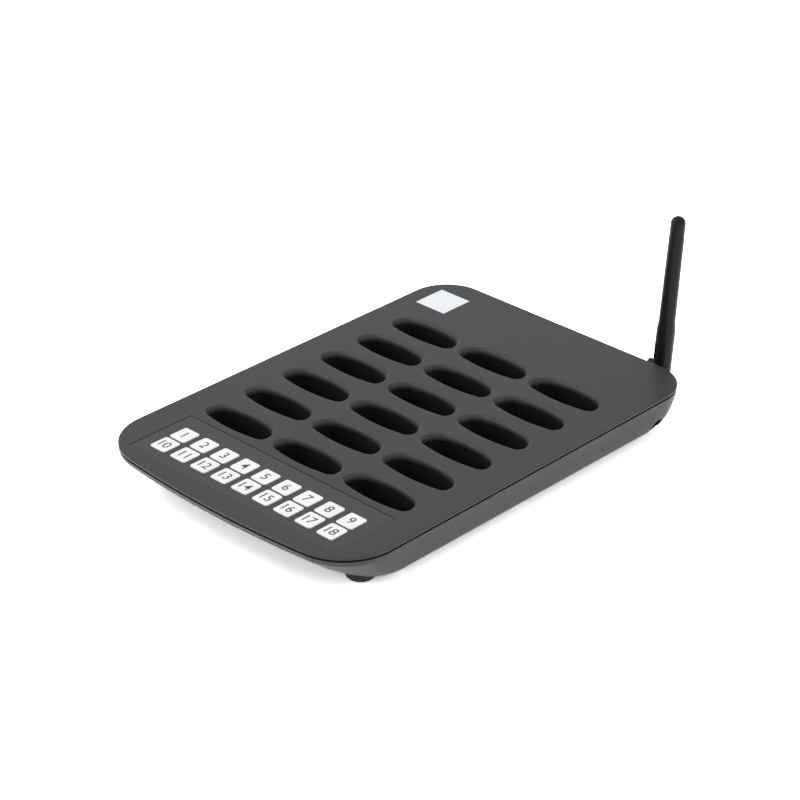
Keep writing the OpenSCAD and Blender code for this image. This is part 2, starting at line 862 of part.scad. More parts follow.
// Hexagon nut on the connector, against the rear face
module connector_nut() {
    color([0.80, 0.68, 0.35])
    along_connector(connector_face_y) difference() {
        cylinder(h = nut_t, r = nut_across / sqrt(3), $fn = 6);
        translate([0, 0, -over]) cylinder(h = nut_t + 2 * over, r = connector_r + thread_gap, $fn = 48);
    }
}

// Knuckle: turns on the connector and carries the mast between two ears
module antenna_knuckle() {
    slit_w = tongue_w + 2 * tongue_gap;
    color([0.13, 0.13, 0.13])
    difference() {
        union() {
            along_connector(knuckle_start_y) cylinder(h = pivot_y - knuckle_start_y, r = knuckle_r);
            intersection() {
                on_pivot() rotate([0, 90, 0]) cylinder(h = 2 * knuckle_r, r = ear_r, center = true);
                along_connector(pivot_y - ear_r) cylinder(h = 2 * ear_r, r = knuckle_r);
            }
        }
        along_connector(knuckle_start_y - over) {
            cylinder(h = connector_end_y + gap - knuckle_start_y + over, r = connector_r + run_gap, $fn = 48);
        }
        on_pivot() {
            translate([-slit_w / 2, -ear_r, -2 * ear_r]) cube([slit_w, 3 * ear_r, 4 * ear_r]);
            rotate([0, 90, 0]) {
                cylinder(h = slit_w, r = tongue_r + gap, center = true);
                cylinder(h = 3 * knuckle_r, r = pin_r + pin_press, center = true, $fn = 32);
            }
        }
    }
}

// Pin through the ears and the mast's tongue
module antenna_pin() {
    color([0.70, 0.70, 0.72])
    on_pivot() rotate([0, 90, 0]) {
        cylinder(h = 2 * (knuckle_r - pin_inset), r = pin_r, center = true, $fn = 32);
    }
}

module on_pivot() {
    translate([antenna_x, pivot_y, pivot_z]) children();
}

// Places what is drawn upright above the pivot at the mast's resting lean
module on_mast() {
    on_pivot() rotate([-mast_lean, 0, 0]) children();
}

// Mast: a tongue on the pin, a collar and a slim tapering sleeve
module antenna_mast() {
    color([0.12, 0.12, 0.12])
    on_mast() difference() {
        union() {
            rotate([0, 90, 0]) cylinder(h = tongue_w, r = tongue_r, center = true);
            translate([-tongue_w / 2, -tongue_r, 0]) cube([tongue_w, 2 * tongue_r, collar_z + eps]);
            rotate_extrude() polygon([
                [0, collar_z], [collar_r - collar_edge, collar_z], [collar_r, collar_z + collar_edge],
                [collar_r, collar_top - collar_taper], [mast_foot_r, collar_top],
                [mast_top_r, sleeve_end_z], [0, sleeve_end_z]
            ]);
            translate([0, 0, sleeve_end_z - eps]) cylinder(h = spigot_len, r = spigot_r, $fn = 32);
        }
        rotate([0, 90, 0]) cylinder(h = 2 * tongue_w, r = pin_r + run_gap, center = true, $fn = 32);
        translate([0, 0, wire_start_z]) cylinder(h = mast_len, r = wire_r + wire_gap, $fn = 24);
    }
}

// Tip cap with a domed end, pushed over the mast's spigot
module antenna_cap() {
    color([0.12, 0.12, 0.12])
    on_mast() difference() {
        union() {
            translate([0, 0, sleeve_end_z]) cylinder(h = cap_len - cap_r, r = cap_r);
            translate([0, 0, tip_centre]) sphere(cap_r);
        }
        translate([0, 0, sleeve_end_z - over]) {
            cylinder(h = spigot_len + over + run_gap, r = spigot_r + run_gap, $fn = 32);
        }
        translate([0, 0, sleeve_end_z]) {
            cylinder(h = wire_in_cap + wire_gap, r = wire_r + wire_gap, $fn = 24);
        }
    }
}

// Radiating wire inside the mast
module antenna_element() {
    color([0.80, 0.68, 0.35])
    on_mast() translate([0, 0, wire_start_z]) {
        cylinder(h = sleeve_end_z + wire_in_cap - wire_start_z, r = wire_r, $fn = 24);
    }
}

// ---------------------------------------------------------------- assembly

top_cover();
bottom_shell();
keypad_panel();
keypad_board();
key_switches();
keypad_ribbon();
for (k = [1 : key_count]) key_cap(k);
for (i = [0 : 2]) slot_strip(i);
for (i = [0 : 2]) charging_board(i);
for (i = [0 : 2]) charging_contacts(i);
main_board();
board_links();
control_chip();
rf_module();
rf_shield();
dc_jack();
antenna_coax();
antenna_connector();
connector_nut();
antenna_knuckle();
antenna_pin();
antenna_mast();
antenna_cap();
antenna_element();
blank_label();
case_screws();
keypad_screws();
for (f = [0 : 3]) foot(f);
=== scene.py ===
import json
import math

import bmesh
import bpy
from mathutils import Matrix, Vector
from mathutils.bvhtree import BVHTree


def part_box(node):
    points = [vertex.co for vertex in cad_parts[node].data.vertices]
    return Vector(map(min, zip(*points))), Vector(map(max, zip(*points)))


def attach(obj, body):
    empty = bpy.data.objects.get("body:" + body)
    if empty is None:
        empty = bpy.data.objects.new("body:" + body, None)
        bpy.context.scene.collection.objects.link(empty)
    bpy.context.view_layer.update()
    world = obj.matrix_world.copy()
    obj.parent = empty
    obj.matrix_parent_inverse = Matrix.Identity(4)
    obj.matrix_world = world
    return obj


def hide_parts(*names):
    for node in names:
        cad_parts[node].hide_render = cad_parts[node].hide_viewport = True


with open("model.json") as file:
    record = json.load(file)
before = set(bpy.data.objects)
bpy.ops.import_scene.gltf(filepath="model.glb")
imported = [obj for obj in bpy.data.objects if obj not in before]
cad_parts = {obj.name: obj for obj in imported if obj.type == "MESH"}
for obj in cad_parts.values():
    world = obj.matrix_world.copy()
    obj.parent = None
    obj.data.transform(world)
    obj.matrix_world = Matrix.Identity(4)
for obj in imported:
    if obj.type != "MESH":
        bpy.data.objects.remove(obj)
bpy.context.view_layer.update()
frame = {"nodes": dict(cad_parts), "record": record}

scene = bpy.context.scene
nodes = frame["nodes"]
MM = 0.001

# ---------------------------------------------------------------- camera
# A long lens in front of the right corner, looking down on the keypad, as the photograph was taken.
# Its place is counted from the middle key of the rear row, at the height of the plate's face.
PHOTO_SIDE = 800
FOCAL_PIXELS = 2506.1
AZIMUTH, ELEVATION = 44.0, 28.77
FROM_KEY_5 = Vector((0.86921, -0.79488, 0.69328))

cover_low, cover_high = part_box("top_cover")
FACE_Z = cover_high.z
key_5_low, key_5_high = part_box("key_5")
camera_data = bpy.data.cameras.new("camera")
camera_data.sensor_width = 36
camera_data.lens = FOCAL_PIXELS / PHOTO_SIDE * camera_data.sensor_width
camera = bpy.data.objects.new("camera", camera_data)
scene.collection.objects.link(camera)
key_5_middle = (key_5_low + key_5_high) / 2
camera.location = Vector((key_5_middle.x, key_5_middle.y, FACE_Z)) + FROM_KEY_5
camera.rotation_euler = (math.radians(90 - ELEVATION), 0, math.radians(AZIMUTH))
scene.camera = camera

# ---------------------------------------------------------------- lower shell
# Injection-moulded ABS tub, charcoal, with a fine spark-eroded grain: sides that swell out a little
# below the seam and tuck in to a rounded lower edge, and a flat underside. Screwed up into the cover.
# Its charcoal is set darker than the cover's, though both are the same ABS: painted shade on the sides.


def shader_group(name, inputs, outputs):
    """An empty shader node group with these named sockets, and its input and output nodes."""
    tree = bpy.data.node_groups.new(name, "ShaderNodeTree")
    for label, kind, value in inputs:
        tree.interface.new_socket(label, in_out="INPUT", socket_type=kind).default_value = value
    for label, kind in outputs:
        tree.interface.new_socket(label, in_out="OUTPUT", socket_type=kind)
    return tree, tree.nodes.new("NodeGroupInput"), tree.nodes.new("NodeGroupOutput")


def node(tree, kind, settings=None, values=None, links=None):
    """Adds a node: its settings, its sockets' values by name or number, and what feeds them."""
    made = tree.nodes.new(kind)
    for key, value in (settings or {}).items():
        setattr(made, key, value)
    for key, value in (values or {}).items():
        made.inputs[key].default_value = value
    for key, source in (links or {}).items():
        tree.links.new(source, made.inputs[key])
    return made


def moulded_grain_group():
    """Grain of moulded plastic: fine pits as height, slow drift of tone and hand-worn patches of sheen."""
    tree, given, out = shader_group(
        "moulded_grain",
        [("Colour", "NodeSocketColor", (0.5, 0.5, 0.5, 1)), ("Tone Drift", "NodeSocketFloat", 0.05),
         ("Roughness", "NodeSocketFloat", 0.5), ("Sheen Drift", "NodeSocketFloat", 0.05),
         ("Grains per Metre", "NodeSocketFloat", 2500.0)],
        [("Colour", "NodeSocketColor"), ("Roughness", "NodeSocketFloat"), ("Height", "NodeSocketFloat")])
    place = node(tree, "ShaderNodeTexCoord").outputs["Object"]
    pits = node(tree, "ShaderNodeTexNoise", values={"Detail": 3.0, "Roughness": 0.6},
                links={"Vector": place, "Scale": given.outputs["Grains per Metre"]})
    drift = node(tree, "ShaderNodeTexNoise", values={"Scale": 11.0, "Detail": 4.0, "Roughness": 0.55},
                 links={"Vector": place})
    handled = node(tree, "ShaderNodeTexNoise", values={"Scale": 38.0, "Detail": 5.0, "Distortion": 0.8},
                   links={"Vector": place})
    centred = node(tree, "ShaderNodeMath", {"operation": "SUBTRACT"}, {1: 0.5}, {0: drift.outputs["Fac"]})
    swing = node(tree, "ShaderNodeMath", {"operation": "MULTIPLY_ADD"}, {2: 1.0},
                 {0: centred.outputs[0], 1: given.outputs["Tone Drift"]})
    tinted = node(tree, "ShaderNodeVectorMath", {"operation": "SCALE"},
                  links={0: given.outputs["Colour"], "Scale": swing.outputs[0]})
    patches = node(tree, "ShaderNodeMath", {"operation": "SUBTRACT"}, {1: 0.5}, {0: handled.outputs["Fac"]})
    sheen = node(tree, "ShaderNodeMath", {"operation": "MULTIPLY_ADD"},
                 links={0: patches.outputs[0], 1: given.outputs["Sheen Drift"],
                        2: given.outputs["Roughness"]})
    tree.links.new(tinted.outputs[0], out.inputs["Colour"])
    tree.links.new(sheen.outputs[0], out.inputs["Roughness"])
    tree.links.new(pits.outputs["Fac"], out.inputs["Height"])
    return tree


moulded_grain = moulded_grain_group()


def moulded(name, colour, roughness, grain=2500.0, depth=0.00004, tone=0.10, specular=0.5):
    """A plastic or rubber material with that grain. Constants sit on the shader's own sockets."""
    material = bpy.data.materials.new(name)
    material.use_nodes = True
    tree = material.node_tree
    shader = tree.nodes["Principled BSDF"]
    skin = node(tree, "ShaderNodeGroup", {"node_tree": moulded_grain},
                {"Colour": (*colour, 1), "Tone Drift": tone, "Roughness": roughness,
                 "Sheen Drift": 0.10, "Grains per Metre": grain})
    bump = node(tree, "ShaderNodeBump", values={"Strength": 1.0, "Distance": depth},
                links={"Height": skin.outputs["Height"]})
    tree.links.new(skin.outputs["Colour"], shader.inputs["Base Color"])
    tree.links.new(skin.outputs["Roughness"], shader.inputs["Roughness"])
    tree.links.new(bump.outputs["Normal"], shader.inputs["Normal"])
    shader.inputs["Specular IOR Level"].default_value = specular
    return material


def link(name, mesh, material):
    """A new object at the origin for a finished mesh."""
    made = bpy.data.objects.new(name, mesh)
    scene.collection.objects.link(made)
    if material:
        mesh.materials.clear()
        mesh.materials.append(material)
    return made


def flattened(piece):
    """Applies a piece's modifiers and keeps the result as its plain mesh."""
    depsgraph = bpy.context.evaluated_depsgraph_get()
    mesh = bpy.data.meshes.new_from_object(piece.evaluated_get(depsgraph))
    piece.modifiers.clear()
    piece.data = mesh


def plain_mesh(name, shape):
    """A bmesh as a mesh."""
    mesh = bpy.data.meshes.new(name)
    shape.to_mesh(mesh)
    shape.free()
    return mesh


def finished(name, shape, material, body, slot, *replaced, crease=32):
    """Makes a bmesh a smooth piece with sharp creases, which rides on a body and replaces CAD nodes."""
    for face in shape.faces:
        face.smooth = True
    for edge in shape.edges:
        edge.smooth = len(edge.link_faces) == 2 and edge.calc_face_angle() < math.radians(crease)
    piece = link(name, plain_mesh(name, shape), material)
    weigh = piece.modifiers.new("weigh", "WEIGHTED_NORMAL")
    weigh.keep_sharp = True
    flattened(piece)
    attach(piece, body)
    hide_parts(*replaced)


CUT_SLACK = 1e-7                       # points this near a plane, in metres, count as on it
WELD = 1e-6                            # and points this near each other are one


def merged_copy(source):
    """A CAD node's mesh with its loose triangles joined."""
    shape = bmesh.new()
    shape.from_mesh(nodes[source].data)
    bmesh.ops.remove_doubles(shape, verts=shape.verts, dist=2 * WELD)
    return shape


def skinned(source, name, material, body, slot, crease=32, ease=0.0, steps=1):
    """A smooth copy of a CAD node in its place, with its sharp edges eased by a small rounding."""
    shape = merged_copy(source)
    bmesh.ops.dissolve_limit(shape, angle_limit=FLAT_WITHIN, verts=shape.verts, edges=shape.edges)
    if ease:
        sharp = [edge for edge in shape.edges
                 if len(edge.link_faces) == 2 and edge.calc_face_angle() > math.radians(crease)]
        bmesh.ops.bevel(shape, geom=sharp, offset=ease, segments=steps, profile=0.5, affect="EDGES",
                        clamp_overlap=True)
    finished(name, shape, material, body, slot, source, crease=crease)


def slice_at(shape, geometry, point, normal, cut_off=False):
    """Cuts geometry along a plane, and drops what lies beyond it if asked. Returns the cut's edges."""
    cut = bmesh.ops.bisect_plane(shape, geom=geometry, dist=CUT_SLACK, plane_co=point, plane_no=normal,
                                 clear_outer=cut_off)["geom_cut"]
    return [part for part in cut if isinstance(part, bmesh.types.BMEdge)]


def whole(shape):
    """All vertices, edges and faces of a bmesh."""
    return shape.verts[:] + shape.edges[:] + shape.faces[:]


def eased(value, low, high):
    """0 below low, 1 above high, and a smooth step between."""
    t = min(max((value - low) / (high - low), 0.0), 1.0)
    return t * t * (3 - 2 * t)


FLAT_WITHIN = math.radians(0.4)        # faces that meet at less than this are joined
CAD_CORNER = 34.0 * MM                 # plan radius of the CAD solids' rear corners
REAR_CORNER = 26.0 * MM                # the photographed ones are tighter
TIGHT_FROM, TIGHT_FULL = 0.45 * CAD_CORNER, 0.8 * CAD_CORNER     # measured out from a corner's centre
SWELL = 1.3 * MM                       # how far the sides stand out from a straight taper
SWELL_FROM, SWELL_FULL = 0.25 * CAD_CORNER, 0.5 * CAD_CORNER     # measured likewise
REAR_SWELL = 1.7 * MM                  # and how much further they do at the rear corners
REAR_FROM, REAR_FULL = 75.0 * MM, 25.0 * MM      # distances from the rear edge over which that grows
SWELL_LOW, SWELL_HIGH = 3.2 * MM, 26.4 * MM      # heights between which the sides swell
SWELL_LEAN = 0.75                      # below 1 it puts the fullest part nearer the foot
SEAM_DROP = 0.4 * MM                   # the rim's top stands this much lower, which opens the shadow gap
ROW_LEVELS = range(10, 25, 2)          # heights in mm at which the sides are cut to take the swell
NOTCH_FROM_BACK, NOTCH_HALF = 31.0 * MM, 5.1 * MM          # the plug notch's place and half width
NOTCH_TOP, NOTCH_RAISED = 11.6 * MM, 14.8 * MM             # its top in the solid, and here
NOTCH_REACH, NOTCH_CALM = 9.0 * MM, 22.0 * MM              # beyond these the wall stays as it is
WALL_IN = 82.0 * MM                    # the side walls lie further out than this
SILL_HALF, SILL_TOP, SILL_IN = 9.0 * MM, 6.0 * MM, 80.0 * MM     # the sill's half width, top and inner side
plate_half, plate_back = cover_high.x, cover_high.y
notch_y = plate_back - NOTCH_FROM_BACK


def rear_corner_shift(x, y):
    """How far a point near a rear corner moves out, to turn the solids' radius into the real one."""
    centre = Vector((plate_half - CAD_CORNER, plate_back - CAD_CORNER))
    ray = Vector((abs(x), y)) - centre
    if ray.x <= 0 or ray.y <= 0:
        return Vector((0, 0))
    way = ray.normalized()
    inner = CAD_CORNER - REAR_CORNER
    reach = CAD_CORNER / max(way.x, way.y)
    if reach * min(way.x, way.y) > inner:
        step = inner * (way.x + way.y)
        reach = step + math.sqrt(step ** 2 - 2 * inner ** 2 + REAR_CORNER ** 2)
    grow = (reach / CAD_CORNER - 1) * eased(ray.length, TIGHT_FROM, TIGHT_FULL)
    return Vector((math.copysign(ray.x, x) * grow, ray.y * grow))


# painted shade: the shell's charcoal is darker than the cover's, though both are the same ABS
shell_plastic = moulded("shell_plastic", (0.036, 0.036, 0.038), 0.45, specular=0.25)
shell_low, shell_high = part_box("bottom_shell")
shape = merged_copy("bottom_shell")
for level in ROW_LEVELS:
    slice_at(shape, whole(shape), (0, 0, level * MM), (0, 0, 1))
walls = BVHTree.FromBMesh(shape)


def wall_x(y, z, inner):
    """How far out the side wall stands, inside or outside. It is measured on the whole left wall."""
    start, way = (-WALL_IN, -1) if inner else (-plate_half - WALL_IN, 1)
    hit = walls.ray_cast(Vector((start, y, z)), Vector((way, 0, 0)))[0]
    return -hit.x if hit else WALL_IN


def between(value, low, high, new_low, new_high):
    """Carries a value from one span to another."""
    return new_low + (value - low) * (new_high - new_low) / (high - low)


# The plug notch reaches higher up the side than the solid's.
notch_steps = round(NOTCH_REACH / MM)
for step in range(-notch_steps, notch_steps + 1):
    side = [face for face in shape.faces if min(v.co.x for v in face.verts) > WALL_IN]
    side += (list({edge for face in side for edge in face.edges})
             + list({vert for face in side for vert in face.verts}))
    slice_at(shape, side, (0, notch_y + step * MM, 0), (0, 1, 0))
for vert in shape.verts:
    x, y, z = vert.co
    if x > WALL_IN and abs(y - notch_y) < NOTCH_REACH and shell_low.z < z < NOTCH_CALM:
        if z < NOTCH_TOP:
            raised = between(z, shell_low.z, NOTCH_TOP, shell_low.z, NOTCH_RAISED)
        else:
            raised = between(z, NOTCH_TOP, NOTCH_CALM, NOTCH_RAISED, NOTCH_CALM)
        raised = z + (raised - z) * (1 - eased(abs(y - notch_y), NOTCH_HALF, NOTCH_REACH))
        inner = abs(x - wall_x(y, z, True)) < abs(x - wall_x(y, z, False))
        vert.co = (x + wall_x(y, raised, inner) - wall_x(y, z, inner), y, raised)

# The sides swell, the rear corners tighten and the rim sinks.
for vert in shape.verts:
    x, y, z = vert.co
    shift = rear_corner_shift(x, y)
    height = (z - SWELL_LOW) / (SWELL_HIGH - SWELL_LOW)
    core = Vector((math.copysign(max(abs(x) - (plate_half - CAD_CORNER), 0), x),
                   max(y - (plate_back - CAD_CORNER), 0) + min(y - (shell_low.y + CAD_CORNER), 0)))
    if 0 < height < 1 and core.length > 0:
        rear = eased(y, plate_back - REAR_FROM, plate_back - REAR_FULL)
        near = eased(core.length, SWELL_FROM, SWELL_FULL)
        bulge = math.sin(math.pi * height ** SWELL_LEAN)
        shift += core.normalized() * (SWELL + REAR_SWELL * rear) * near * bulge
    vert.co += Vector((*shift, -SEAM_DROP if z > shell_high.z - 10 * WELD else 0))

# The notch's sill is a slip of the same wall, taken from the left side and turned over to the right.
sill = shape.copy()
bmesh.ops.scale(sill, verts=sill.verts, vec=(-1, 1, 1))
bmesh.ops.reverse_faces(sill, faces=sill.faces)
for point, away in (((0, notch_y - SILL_HALF, 0), (0, -1, 0)), ((0, notch_y + SILL_HALF, 0), (0, 1, 0)),
                    ((SILL_IN, 0, 0), (-1, 0, 0)), ((0, 0, SILL_TOP), (0, 0, 1))):
    cut_edges = slice_at(sill, whole(sill), point, away, cut_off=True)
    bmesh.ops.triangle_fill(sill, use_beauty=True, edges=cut_edges)
bmesh.ops.recalc_face_normals(sill, faces=sill.faces)
shape.from_mesh(plain_mesh("sill", sill))
finished("lower_shell", shape, shell_plastic, "base", "shell_plastic", "bottom_shell", crease=24)

# ---------------------------------------------------------------- top cover
# The flat plate, moulded in the same charcoal ABS, with 18 D-shaped slots in three columns of six. Each
# slot's front side is nearly straight and its rear side arched, and a broad round rim leads the pager in.
plate_front = cover_low.y
FRONT_CORNER, FRONT_BOW = 34.0 * MM, 660.0 * MM
EDGE_ROUND, EDGE_HEIGHT, EDGE_STEPS = 0.35 * MM, 1.2 * MM, 4
NEST_INSET, COVER_DEPTH = 2.5 * MM, 3.0 * MM
SLOT_COLUMNS, SLOT_ROWS = 3, 6
SLOT_PITCH_X, SLOT_PITCH_Y, FIRST_SLOT = 55.6 * MM, 30.5 * MM, 75.6 * MM
SLOT_LENGTH, SLOT_WIDTH = 52.0 * MM, 23.1 * MM
FRONT_SIDE, REAR_SIDE, SHOULDER = 105.0 * MM, 64.0 * MM, 13.0 * MM
RIM_ROUND, RIM_STEPS = 2.6 * MM, 10
COLLAR_DEPTH, COLLAR_WALL = 0.5 * MM, 0.6 * MM


def arc_ring(arcs, inset, z):
    """Points along arcs (centre, radius, first and last angle, steps), drawn in by an inset, at height z."""
    ring = []
    for centre, radius, first, last, steps in arcs:
        for step in range(steps + 1):
            angle = math.radians(first + (last - first) * step / steps)
            point = Vector((*(centre + (radius - inset) * Vector((math.cos(angle), math.sin(angle)))), z))
            if not ring or (point - ring[-1]).length > WELD:
                ring.append(point)
    if (ring[0] - ring[-1]).length < WELD:
        ring.pop()
    return ring


def plate_arcs():
    """The plate's outline: two rear corners, two front corners and the bowed front edge between them."""
    core = plate_half - FRONT_CORNER
    join = math.degrees(math.asin(core / (FRONT_BOW - FRONT_CORNER)))
    front_core_y = plate_front + FRONT_BOW - math.sqrt((FRONT_BOW - FRONT_CORNER) ** 2 - core ** 2)
    rear = plate_half - REAR_CORNER
    return [(Vector((rear, plate_back - REAR_CORNER)), REAR_CORNER, 0, 90, 24),
            (Vector((-rear, plate_back - REAR_CORNER)), REAR_CORNER, 90, 180, 24),
            (Vector((-core, front_core_y)), FRONT_CORNER, 180, 270 - join, 24),
            (Vector((0, plate_front + FRONT_BOW)), FRONT_BOW, 270 - join, 270 + join, 40),
            (Vector((core, front_core_y)), FRONT_CORNER, 270 + join, 360, 24)]


def slot_arcs():
    """A slot's D-shaped outline about its middle: flat front side, corners, shoulders, arched rear side."""
    half_length, half_width = SLOT_LENGTH / 2, SLOT_WIDTH / 2
    rear_y = half_width - REAR_SIDE
    front_y = FRONT_SIDE - half_width
    shoulder_x = half_length - SHOULDER
    axis_y = rear_y + math.sqrt((REAR_SIDE - SHOULDER) ** 2 - shoulder_x ** 2)
    corner = FRONT_SIDE ** 2 - (front_y - axis_y) ** 2 - half_length ** 2
    corner /= 2 * (FRONT_SIDE - half_length)
    corner_x = half_length - corner
    front_turn = math.degrees(math.atan2(corner_x, front_y - axis_y))
    rear_turn = math.degrees(math.atan2(shoulder_x, axis_y - rear_y))
    return [(Vector((shoulder_x, axis_y)), SHOULDER, 0, 90 - rear_turn, 16),
            (Vector((0, rear_y)), REAR_SIDE, 90 - rear_turn, 90 + rear_turn, 24),
            (Vector((-shoulder_x, axis_y)), SHOULDER, 90 + rear_turn, 180, 16),
            (Vector((-corner_x, axis_y)), corner, 180, 270 - front_turn, 14),
            (Vector((0, front_y)), FRONT_SIDE, 270 - front_turn, 270 + front_turn, 30),
            (Vector((corner_x, axis_y)), corner, 270 + front_turn, 360, 14)]


def rectangle(low, high, grow, z):
    """Four corner points of a box seen from above, grown by a clearance, at height z."""
    return [Vector((high.x + grow, high.y + grow, z)), Vector((low.x - grow, high.y + grow, z)),
            Vector((low.x - grow, low.y - grow, z)), Vector((high.x + grow, low.y - grow, z))]


def loft(shape, rings):
    """Joins closed rings of points one after another with faces. Returns the first and last ring's edges."""
    rows = [[shape.verts.new(point) for point in ring] for ring in rings]
    for above, below in zip(rows, rows[1:]):
        for k in range(len(above)):
            n = (k + 1) % len(above)
            shape.faces.new((above[k], below[k], below[n], above[n]))
    ends = []
    for row in (rows[0], rows[-1]):
        ends.append([edge for vert in row for edge in vert.link_edges if edge.other_vert(vert) in row])
    return [list(dict.fromkeys(edges)) for edges in ends]


def rows_of(name, mesh, columns, rows, pitch_x, pitch_y, material):
    """Repeats a mesh in columns and rows about the origin with Geometry Nodes. Returns the joined mesh."""
    tree = bpy.data.node_groups.new(name, "GeometryNodeTree")
    sockets = {}
    for label, kind in (("Piece", "Geometry"), ("Columns", "Int"), ("Rows", "Int"), ("Pitch X", "Float"),
                        ("Pitch Y", "Float"), ("Finish", "Material")):
        sockets[label] = tree.interface.new_socket(label, in_out="INPUT", socket_type="NodeSocket" + kind)
    tree.interface.new_socket("Piece", in_out="OUTPUT", socket_type="NodeSocketGeometry")
    given = tree.nodes.new("NodeGroupInput").outputs
    grid = node(tree, "GeometryNodeMeshGrid",
                links={"Vertices X": given["Columns"], "Vertices Y": given["Rows"]})
    for side, count, pitch in (("Size X", "Columns", "Pitch X"), ("Size Y", "Rows", "Pitch Y")):
        spaces = node(tree, "ShaderNodeMath", {"operation": "SUBTRACT"}, {1: 1.0}, {0: given[count]})
        span = node(tree, "ShaderNodeMath", {"operation": "MULTIPLY"},
                    links={0: spaces.outputs[0], 1: given[pitch]})
        tree.links.new(span.outputs[0], grid.inputs[side])
    placed = node(tree, "GeometryNodeInstanceOnPoints",
                  links={"Points": grid.outputs["Mesh"], "Instance": given["Piece"]})
    real = node(tree, "GeometryNodeRealizeInstances", links={"Geometry": placed.outputs[0]})
    coated = node(tree, "GeometryNodeSetMaterial",
                  links={"Geometry": real.outputs[0], "Material": given["Finish"]})
    node(tree, "NodeGroupOutput", links={0: coated.outputs[0]})
    holder = bpy.data.objects.new(name, mesh)
    scene.collection.objects.link(holder)
    repeat = holder.modifiers.new("repeat", "NODES")
    repeat.node_group = tree
    for label, value in (("Columns", columns), ("Rows", rows), ("Pitch X", pitch_x), ("Pitch Y", pitch_y),
                         ("Finish", material)):
        repeat[sockets[label].identifier] = value
    flattened(holder)
    result = holder.data
    bpy.data.objects.remove(holder)
    return result


def fill(shape, edges, up):
    """Fills the flat area between outer and inner edge loops, facing up or down."""
    made = bmesh.ops.triangle_fill(shape, use_beauty=True, use_dissolve=False, edges=edges)
    for face in made["geom"]:
        if isinstance(face, bmesh.types.BMFace) and (face.normal.z > 0) != up:
            face.normal_flip()


def closed(shape):
    """Sews a bmesh's parts together along their shared edges and turns all faces outward."""
    bmesh.ops.remove_doubles(shape, verts=shape.verts, dist=WELD)
    bmesh.ops.recalc_face_normals(shape, faces=shape.faces)


def level_edges(shape, z):
    """The open edges that lie at height z."""
    return [edge for edge in shape.edges
            if edge.is_boundary and all(abs(v.co.z - z) < CUT_SLACK for v in edge.verts)]


def quarter_turns(steps):
    """Even angles from 0 to a right angle."""
    return [math.pi / 2 * step / steps for step in range(steps + 1)]


cover_plastic = moulded("cover_plastic", (0.042, 0.042, 0.044), 0.40, specular=0.2)
slot_middle = Vector((0, plate_front + FIRST_SLOT + SLOT_PITCH_Y * (SLOT_ROWS - 1) / 2, 0))
underside = FACE_Z - COVER_DEPTH

rim = bmesh.new()
levels = [(RIM_ROUND * math.sin(turn), FACE_Z - RIM_ROUND * (1 - math.cos(turn)))
          for turn in quarter_turns(RIM_STEPS)]
levels += [(RIM_ROUND, underside - COLLAR_DEPTH), (RIM_ROUND - COLLAR_WALL, underside - COLLAR_DEPTH),
           (RIM_ROUND - COLLAR_WALL, underside)]
loft(rim, [arc_ring(slot_arcs(), inset, z) for inset, z in levels])
rims = rows_of("slot_rims", plain_mesh("slot_rim", rim), SLOT_COLUMNS, SLOT_ROWS, SLOT_PITCH_X, SLOT_PITCH_Y,
               cover_plastic)
rims.transform(Matrix.Translation(slot_middle))

shape = bmesh.new()
shape.from_mesh(rims)
levels = [(NEST_INSET, underside), (NEST_INSET, FACE_Z - EDGE_HEIGHT), (0, FACE_Z - EDGE_HEIGHT)]
levels += [(EDGE_ROUND * (1 - math.cos(turn)), FACE_Z - EDGE_ROUND * (1 - math.sin(turn)))
           for turn in quarter_turns(EDGE_STEPS)]
loft(shape, [arc_ring(plate_arcs(), inset, z) for inset, z in levels])

panel_low, panel_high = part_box("keypad_panel")
LEDGE_X, LEDGE_Y, PANEL_GAP = 4.0 * MM, 2.5 * MM, 0.3 * MM
window_low = panel_low + Vector((LEDGE_X, LEDGE_Y, 0))
window_high = panel_high - Vector((LEDGE_X, LEDGE_Y, 0))
loft(shape, [rectangle(panel_low, panel_high, PANEL_GAP, FACE_Z),
             rectangle(panel_low, panel_high, PANEL_GAP, panel_low.z),
             rectangle(window_low, window_high, 0, panel_low.z),
             rectangle(window_low, window_high, 0, underside)])
label_low, label_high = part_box("blank_label")
LABEL_GAP = 0.15 * MM
floor_edges = loft(shape, [rectangle(label_low, label_high, LABEL_GAP, FACE_Z),
                           rectangle(label_low, label_high, LABEL_GAP, label_low.z)])[1]
fill(shape, floor_edges, up=True)
fill(shape, level_edges(shape, FACE_Z), up=True)
fill(shape, level_edges(shape, underside), up=False)

# The screw posts under the plate are the solid's own, closed where they were cut off.
posts = merged_copy("top_cover")
plate_faces = [face for face in posts.faces if max(v.co.z for v in face.verts) > underside + WELD
               or min(v.co.z for v in face.verts) > underside - WELD]
bmesh.ops.delete(posts, geom=plate_faces, context="FACES")
bmesh.ops.holes_fill(posts, edges=[edge for edge in posts.edges if edge.is_boundary], sides=0)
shape.from_mesh(plain_mesh("posts", posts))
closed(shape)
finished("cover_plate", shape, cover_plastic, "base", "cover_plastic", "top_cover", crease=30)
